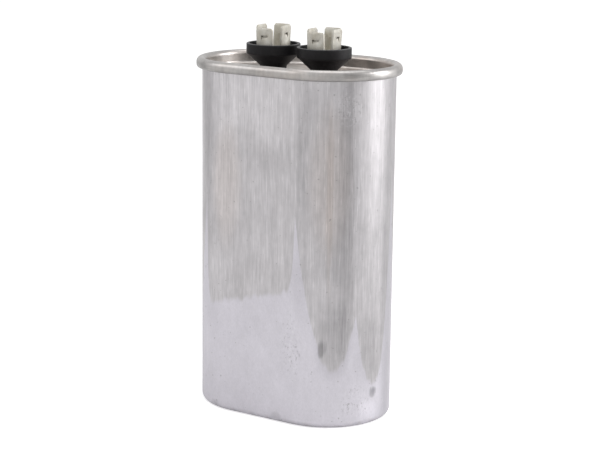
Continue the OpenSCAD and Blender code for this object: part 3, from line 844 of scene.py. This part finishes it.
class CAPACITOR_OT_tabs(bpy.types.Operator):
    """Rounds the cut edges of the folded tab sheets and of the rivets"""
    bl_idname = "capacitor.tabs"
    bl_label = "Tabs and rivets"

    def execute(self, context):
        terminal = context.scene.capacitor_terminal
        pieces = []
        for node in SHEETS + ("terminal_rivets",):
            deselect()
            source = frame["nodes"][node]
            piece = source.copy()
            piece.data = source.data.copy()
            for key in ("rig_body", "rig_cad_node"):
                if key in piece:
                    del piece[key]
            piece.parent = None
            context.scene.collection.objects.link(piece)
            piece.name = piece.data.name = "plated_" + node
            piece.select_set(True)
            context.view_layer.objects.active = piece
            edit()
            bpy.ops.mesh.select_all(action="SELECT")
            bpy.ops.mesh.remove_doubles(threshold=MERGED)
            bpy.ops.mesh.dissolve_limited(angle_limit=math.radians(0.5))
            bpy.ops.object.mode_set(mode="OBJECT")
            bevel = piece.modifiers.new("round edges", "BEVEL")
            bevel.width = terminal.edge
            bevel.segments = 3
            bevel.limit_method = "ANGLE"
            bevel.angle_limit = math.radians(30)
            bpy.ops.object.modifier_apply(modifier=bevel.name)
            if node in SHEETS:
                close_slots(node, CUPS["left"][1].z - terminal.cup_depth)
            finish_piece(stands_for=(node,))
            pieces.append(piece)
        dress(pieces, tin_plate(terminal))
        return {"FINISHED"}


class CAPACITOR_OT_inside(bpy.types.Operator):
    """Gives the pieces inside the case their finishes"""
    bl_idname = "capacitor.inside"
    bl_label = "Pieces inside"

    def execute(self, context):
        nodes = frame["nodes"]
        finishes = {
            ("seam_compound",): plain_finish("sealing_compound", (0.04, 0.04, 0.04), roughness=0.8),
            ("seal_ring_left", "seal_ring_right"): plain_finish(
                "seal_rubber", (0.05, 0.045, 0.04), roughness=0.75),
            ("lower_insulator_left", "lower_insulator_right"): plain_finish(
                "pressed_board", (0.45, 0.31, 0.17), roughness=0.8, grain=1500.0, contrast=0.25),
            ("contact_lug_left", "contact_lug_right"): plain_finish(
                "bare_brass", (0.72, 0.52, 0.22), metallic=1.0, roughness=0.32),
            ("break_strip_left", "break_strip_right"): plain_finish(
                "bare_copper", (0.75, 0.38, 0.24), metallic=1.0, roughness=0.3),
            ("interrupter_plate", "top_spacer"): plain_finish(
                "natural_moulding", (0.72, 0.66, 0.5), roughness=0.5, contrast=0.1),
            ("lead_left", "lead_right"): plain_finish("lead_sleeve", (0.35, 0.03, 0.02), roughness=0.35),
            ("end_spray_top", "end_spray_bottom"): plain_finish(
                "sprayed_zinc", (0.42, 0.43, 0.45), metallic=0.8, roughness=0.7, grain=2600.0,
                depth=0.00012),
            ("winding",): plain_finish(
                "metallised_film", (0.6, 0.62, 0.66), metallic=0.9, roughness=0.3, stretch=(1, 1, 0.02),
                grain=4000.0),
            ("winding_core", "bottom_pad"): plain_finish(
                "white_moulding", (0.75, 0.75, 0.7), roughness=0.5, contrast=0.08),
            ("winding_wrap", "liner"): plain_finish(
                "clear_film", (0.75, 0.74, 0.6), roughness=0.25, contrast=0.08, transmission=0.3),
        }
        for names, material in finishes.items():
            dress([nodes[name] for name in names], material)
        # the nodes that a detailed piece stands for keep a plain version of its finish
        metal = plain_finish("hidden_aluminium", (0.6, 0.58, 0.58), metallic=1.0, roughness=0.4)
        dress([nodes["can"], nodes["cover"]], metal)
        dress([nodes["terminal_cup_" + side] for side in CUPS],
              plain_finish("hidden_moulding", (0.02, 0.02, 0.022), roughness=0.5))
        dress([nodes[name] for name in SHEETS + ("terminal_rivets",)],
              plain_finish("hidden_tin", (0.66, 0.64, 0.6), metallic=1.0, roughness=0.33))
        return {"FINISHED"}


class CAPACITOR_OT_stage(bpy.types.Operator):
    """Lays the pale floor, hangs the soft lamps and sets the camera"""
    bl_idname = "capacitor.stage"
    bl_label = "Stage"

    def execute(self, context):
        stage = context.scene.capacitor_stage
        deselect()
        bpy.ops.mesh.primitive_plane_add(size=FLOOR_SIZE, location=(0, 0, 0))
        floor = context.object
        floor.name = floor.data.name = "floor"
        f = Finish("pale_floor")
        f.set(Base_Color=tuple(stage.floor_colour), Roughness=FLOOR_ROUGHNESS)
        seen = f.add("ShaderNodeLightPath").outputs
        mirrored = f.maths("MAXIMUM", seen["Is Glossy Ray"], seen["Is Transmission Ray"])
        glow = f.add("ShaderNodeEmission")
        f.feed(glow.inputs["Color"], (1, 1, 1))
        mirrored = f.maths("MULTIPLY", mirrored, FLOOR_MIRRORED)
        f.feed(glow.inputs["Strength"], f.maths("MULTIPLY_ADD", seen["Is Camera Ray"], FLOOR_SEEN, mirrored))
        both = f.add("ShaderNodeAddShader")
        f.links.new(f.shader.outputs[0], both.inputs[0])
        f.links.new(glow.outputs[0], both.inputs[1])
        f.links.new(both.outputs[0], f.nodes["Material Output"].inputs["Surface"])
        dress([floor], f.material)

        world = bpy.data.worlds.new("studio")
        context.scene.world = world
        world.use_nodes = True
        w = world.node_tree
        back = w.nodes["Background"]
        path = w.nodes.new("ShaderNodeLightPath")
        level = None
        for ray, more in WORLD_MORE:
            add = w.nodes.new("ShaderNodeMath")
            add.operation = "MULTIPLY_ADD"
            w.links.new(path.outputs[ray], add.inputs[0])
            add.inputs[1].default_value = more
            add.inputs[2].default_value = WORLD_LEVEL
            if level is not None:
                w.links.new(level, add.inputs[2])
            level = add.outputs[0]
        w.links.new(level, back.inputs["Strength"])
        back.inputs["Color"].default_value = (1, 1, 1, 1)

        for name, place, aim, size, power in LAMPS:
            bpy.ops.object.light_add(type="AREA", location=place)
            item = context.object
            item.name = item.data.name = name
            item.data.shape = "RECTANGLE"
            item.data.size, item.data.size_y = size
            item.data.energy = power
            item.rotation_euler = (Vector(aim) - Vector(place)).to_track_quat("-Z", "Y").to_euler()
            item.visible_camera = False
        # grey cards at the sides, out of view, that darken the edges of the case
        card = Finish("grey_card")
        card.set(Base_Color=(CARD_GREY,) * 3, Roughness=FLOOR_ROUGHNESS)
        for name, bearing, width in CARDS:
            turn = math.radians(bearing)
            place = (math.sin(turn) * CARD_AWAY, -math.cos(turn) * CARD_AWAY, CARD_HEIGHT / 2)
            deselect()
            bpy.ops.mesh.primitive_plane_add(size=1.0, location=place, rotation=(math.pi / 2, 0, turn))
            item = context.object
            item.name = item.data.name = name
            item.scale = (width, CARD_HEIGHT, 1)
            bpy.ops.object.transform_apply(location=True, rotation=True, scale=True)
            item.visible_camera = False
            dress([item], card.material)

        # the camera looks at the middle of the body from the right front, a little from above
        turn, rise, roll = (math.radians(a) for a in CAMERA_ANGLES)
        away = Vector((math.sin(turn) * math.cos(rise), -math.cos(turn) * math.cos(rise), math.sin(rise)))
        right = Vector((math.cos(turn), math.sin(turn), 0))
        up = away.cross(right)
        right, up = (right * math.cos(roll) + up * math.sin(roll),
                     up * math.cos(roll) - right * math.sin(roll))
        place = away * CAMERA_AWAY + Vector((0, 0, CAMERA_AIM)) + right * CAMERA_RIGHT + up * CAMERA_UP
        bpy.ops.object.camera_add(location=place)
        camera = context.object
        camera.name = camera.data.name = "camera"
        camera.rotation_euler = Matrix((right, up, away)).transposed().to_euler()
        camera.data.sensor_width = SENSOR_WIDTH
        camera.data.lens = stage.lens
        camera.data.clip_start = CLIP_START
        context.scene.camera = camera
        context.scene.view_settings.view_transform = "Standard"
        return {"FINISHED"}


class CAPACITOR_PT_panel(bpy.types.Panel):
    """Lists the pieces and their sizes in the sidebar"""
    bl_idname = "CAPACITOR_PT_panel"
    bl_label = "Motor Run Capacitor"
    bl_space_type = "VIEW_3D"
    bl_region_type = "UI"
    bl_category = "Capacitor"

    def draw(self, context):
        for title, name, operators in SECTIONS:
            box = self.layout.box()
            box.label(text=title)
            settings = getattr(context.scene, name, None)
            if settings:
                for key in settings.__annotations__:
                    box.prop(settings, key)
            for operator in operators:
                box.operator(operator.bl_idname)


SECTIONS = (
    ("Case", "capacitor_case", (CAPACITOR_OT_case,)),
    ("Cover and seam", "capacitor_cover", (CAPACITOR_OT_cover,)),
    ("Terminals", "capacitor_terminal", (CAPACITOR_OT_cups, CAPACITOR_OT_tabs)),
    ("Inside", "", (CAPACITOR_OT_inside,)),
    ("Stage", "capacitor_stage", (CAPACITOR_OT_stage,)),
)
GROUPS = {
    "capacitor_case": CaseSettings,
    "capacitor_cover": CoverSettings,
    "capacitor_terminal": TerminalSettings,
    "capacitor_stage": StageSettings,
}
OPERATORS = [operator for _, _, operators in SECTIONS for operator in operators]


def register():
    for name, group in GROUPS.items():
        bpy.utils.register_class(group)
        setattr(bpy.types.Scene, name, bpy.props.PointerProperty(type=group))
    for operator in OPERATORS:
        bpy.utils.register_class(operator)
    bpy.utils.register_class(CAPACITOR_PT_panel)


def unregister():
    bpy.utils.unregister_class(CAPACITOR_PT_panel)
    for operator in reversed(OPERATORS):
        bpy.utils.unregister_class(operator)
    for name, group in GROUPS.items():
        delattr(bpy.types.Scene, name)
        bpy.utils.unregister_class(group)


def main():
    register()
    bpy.ops.capacitor.case()
    bpy.ops.capacitor.cover()
    bpy.ops.capacitor.cups()
    bpy.ops.capacitor.tabs()
    bpy.ops.capacitor.inside()
    bpy.ops.capacitor.stage()


if __name__ == "__main__":
    main()
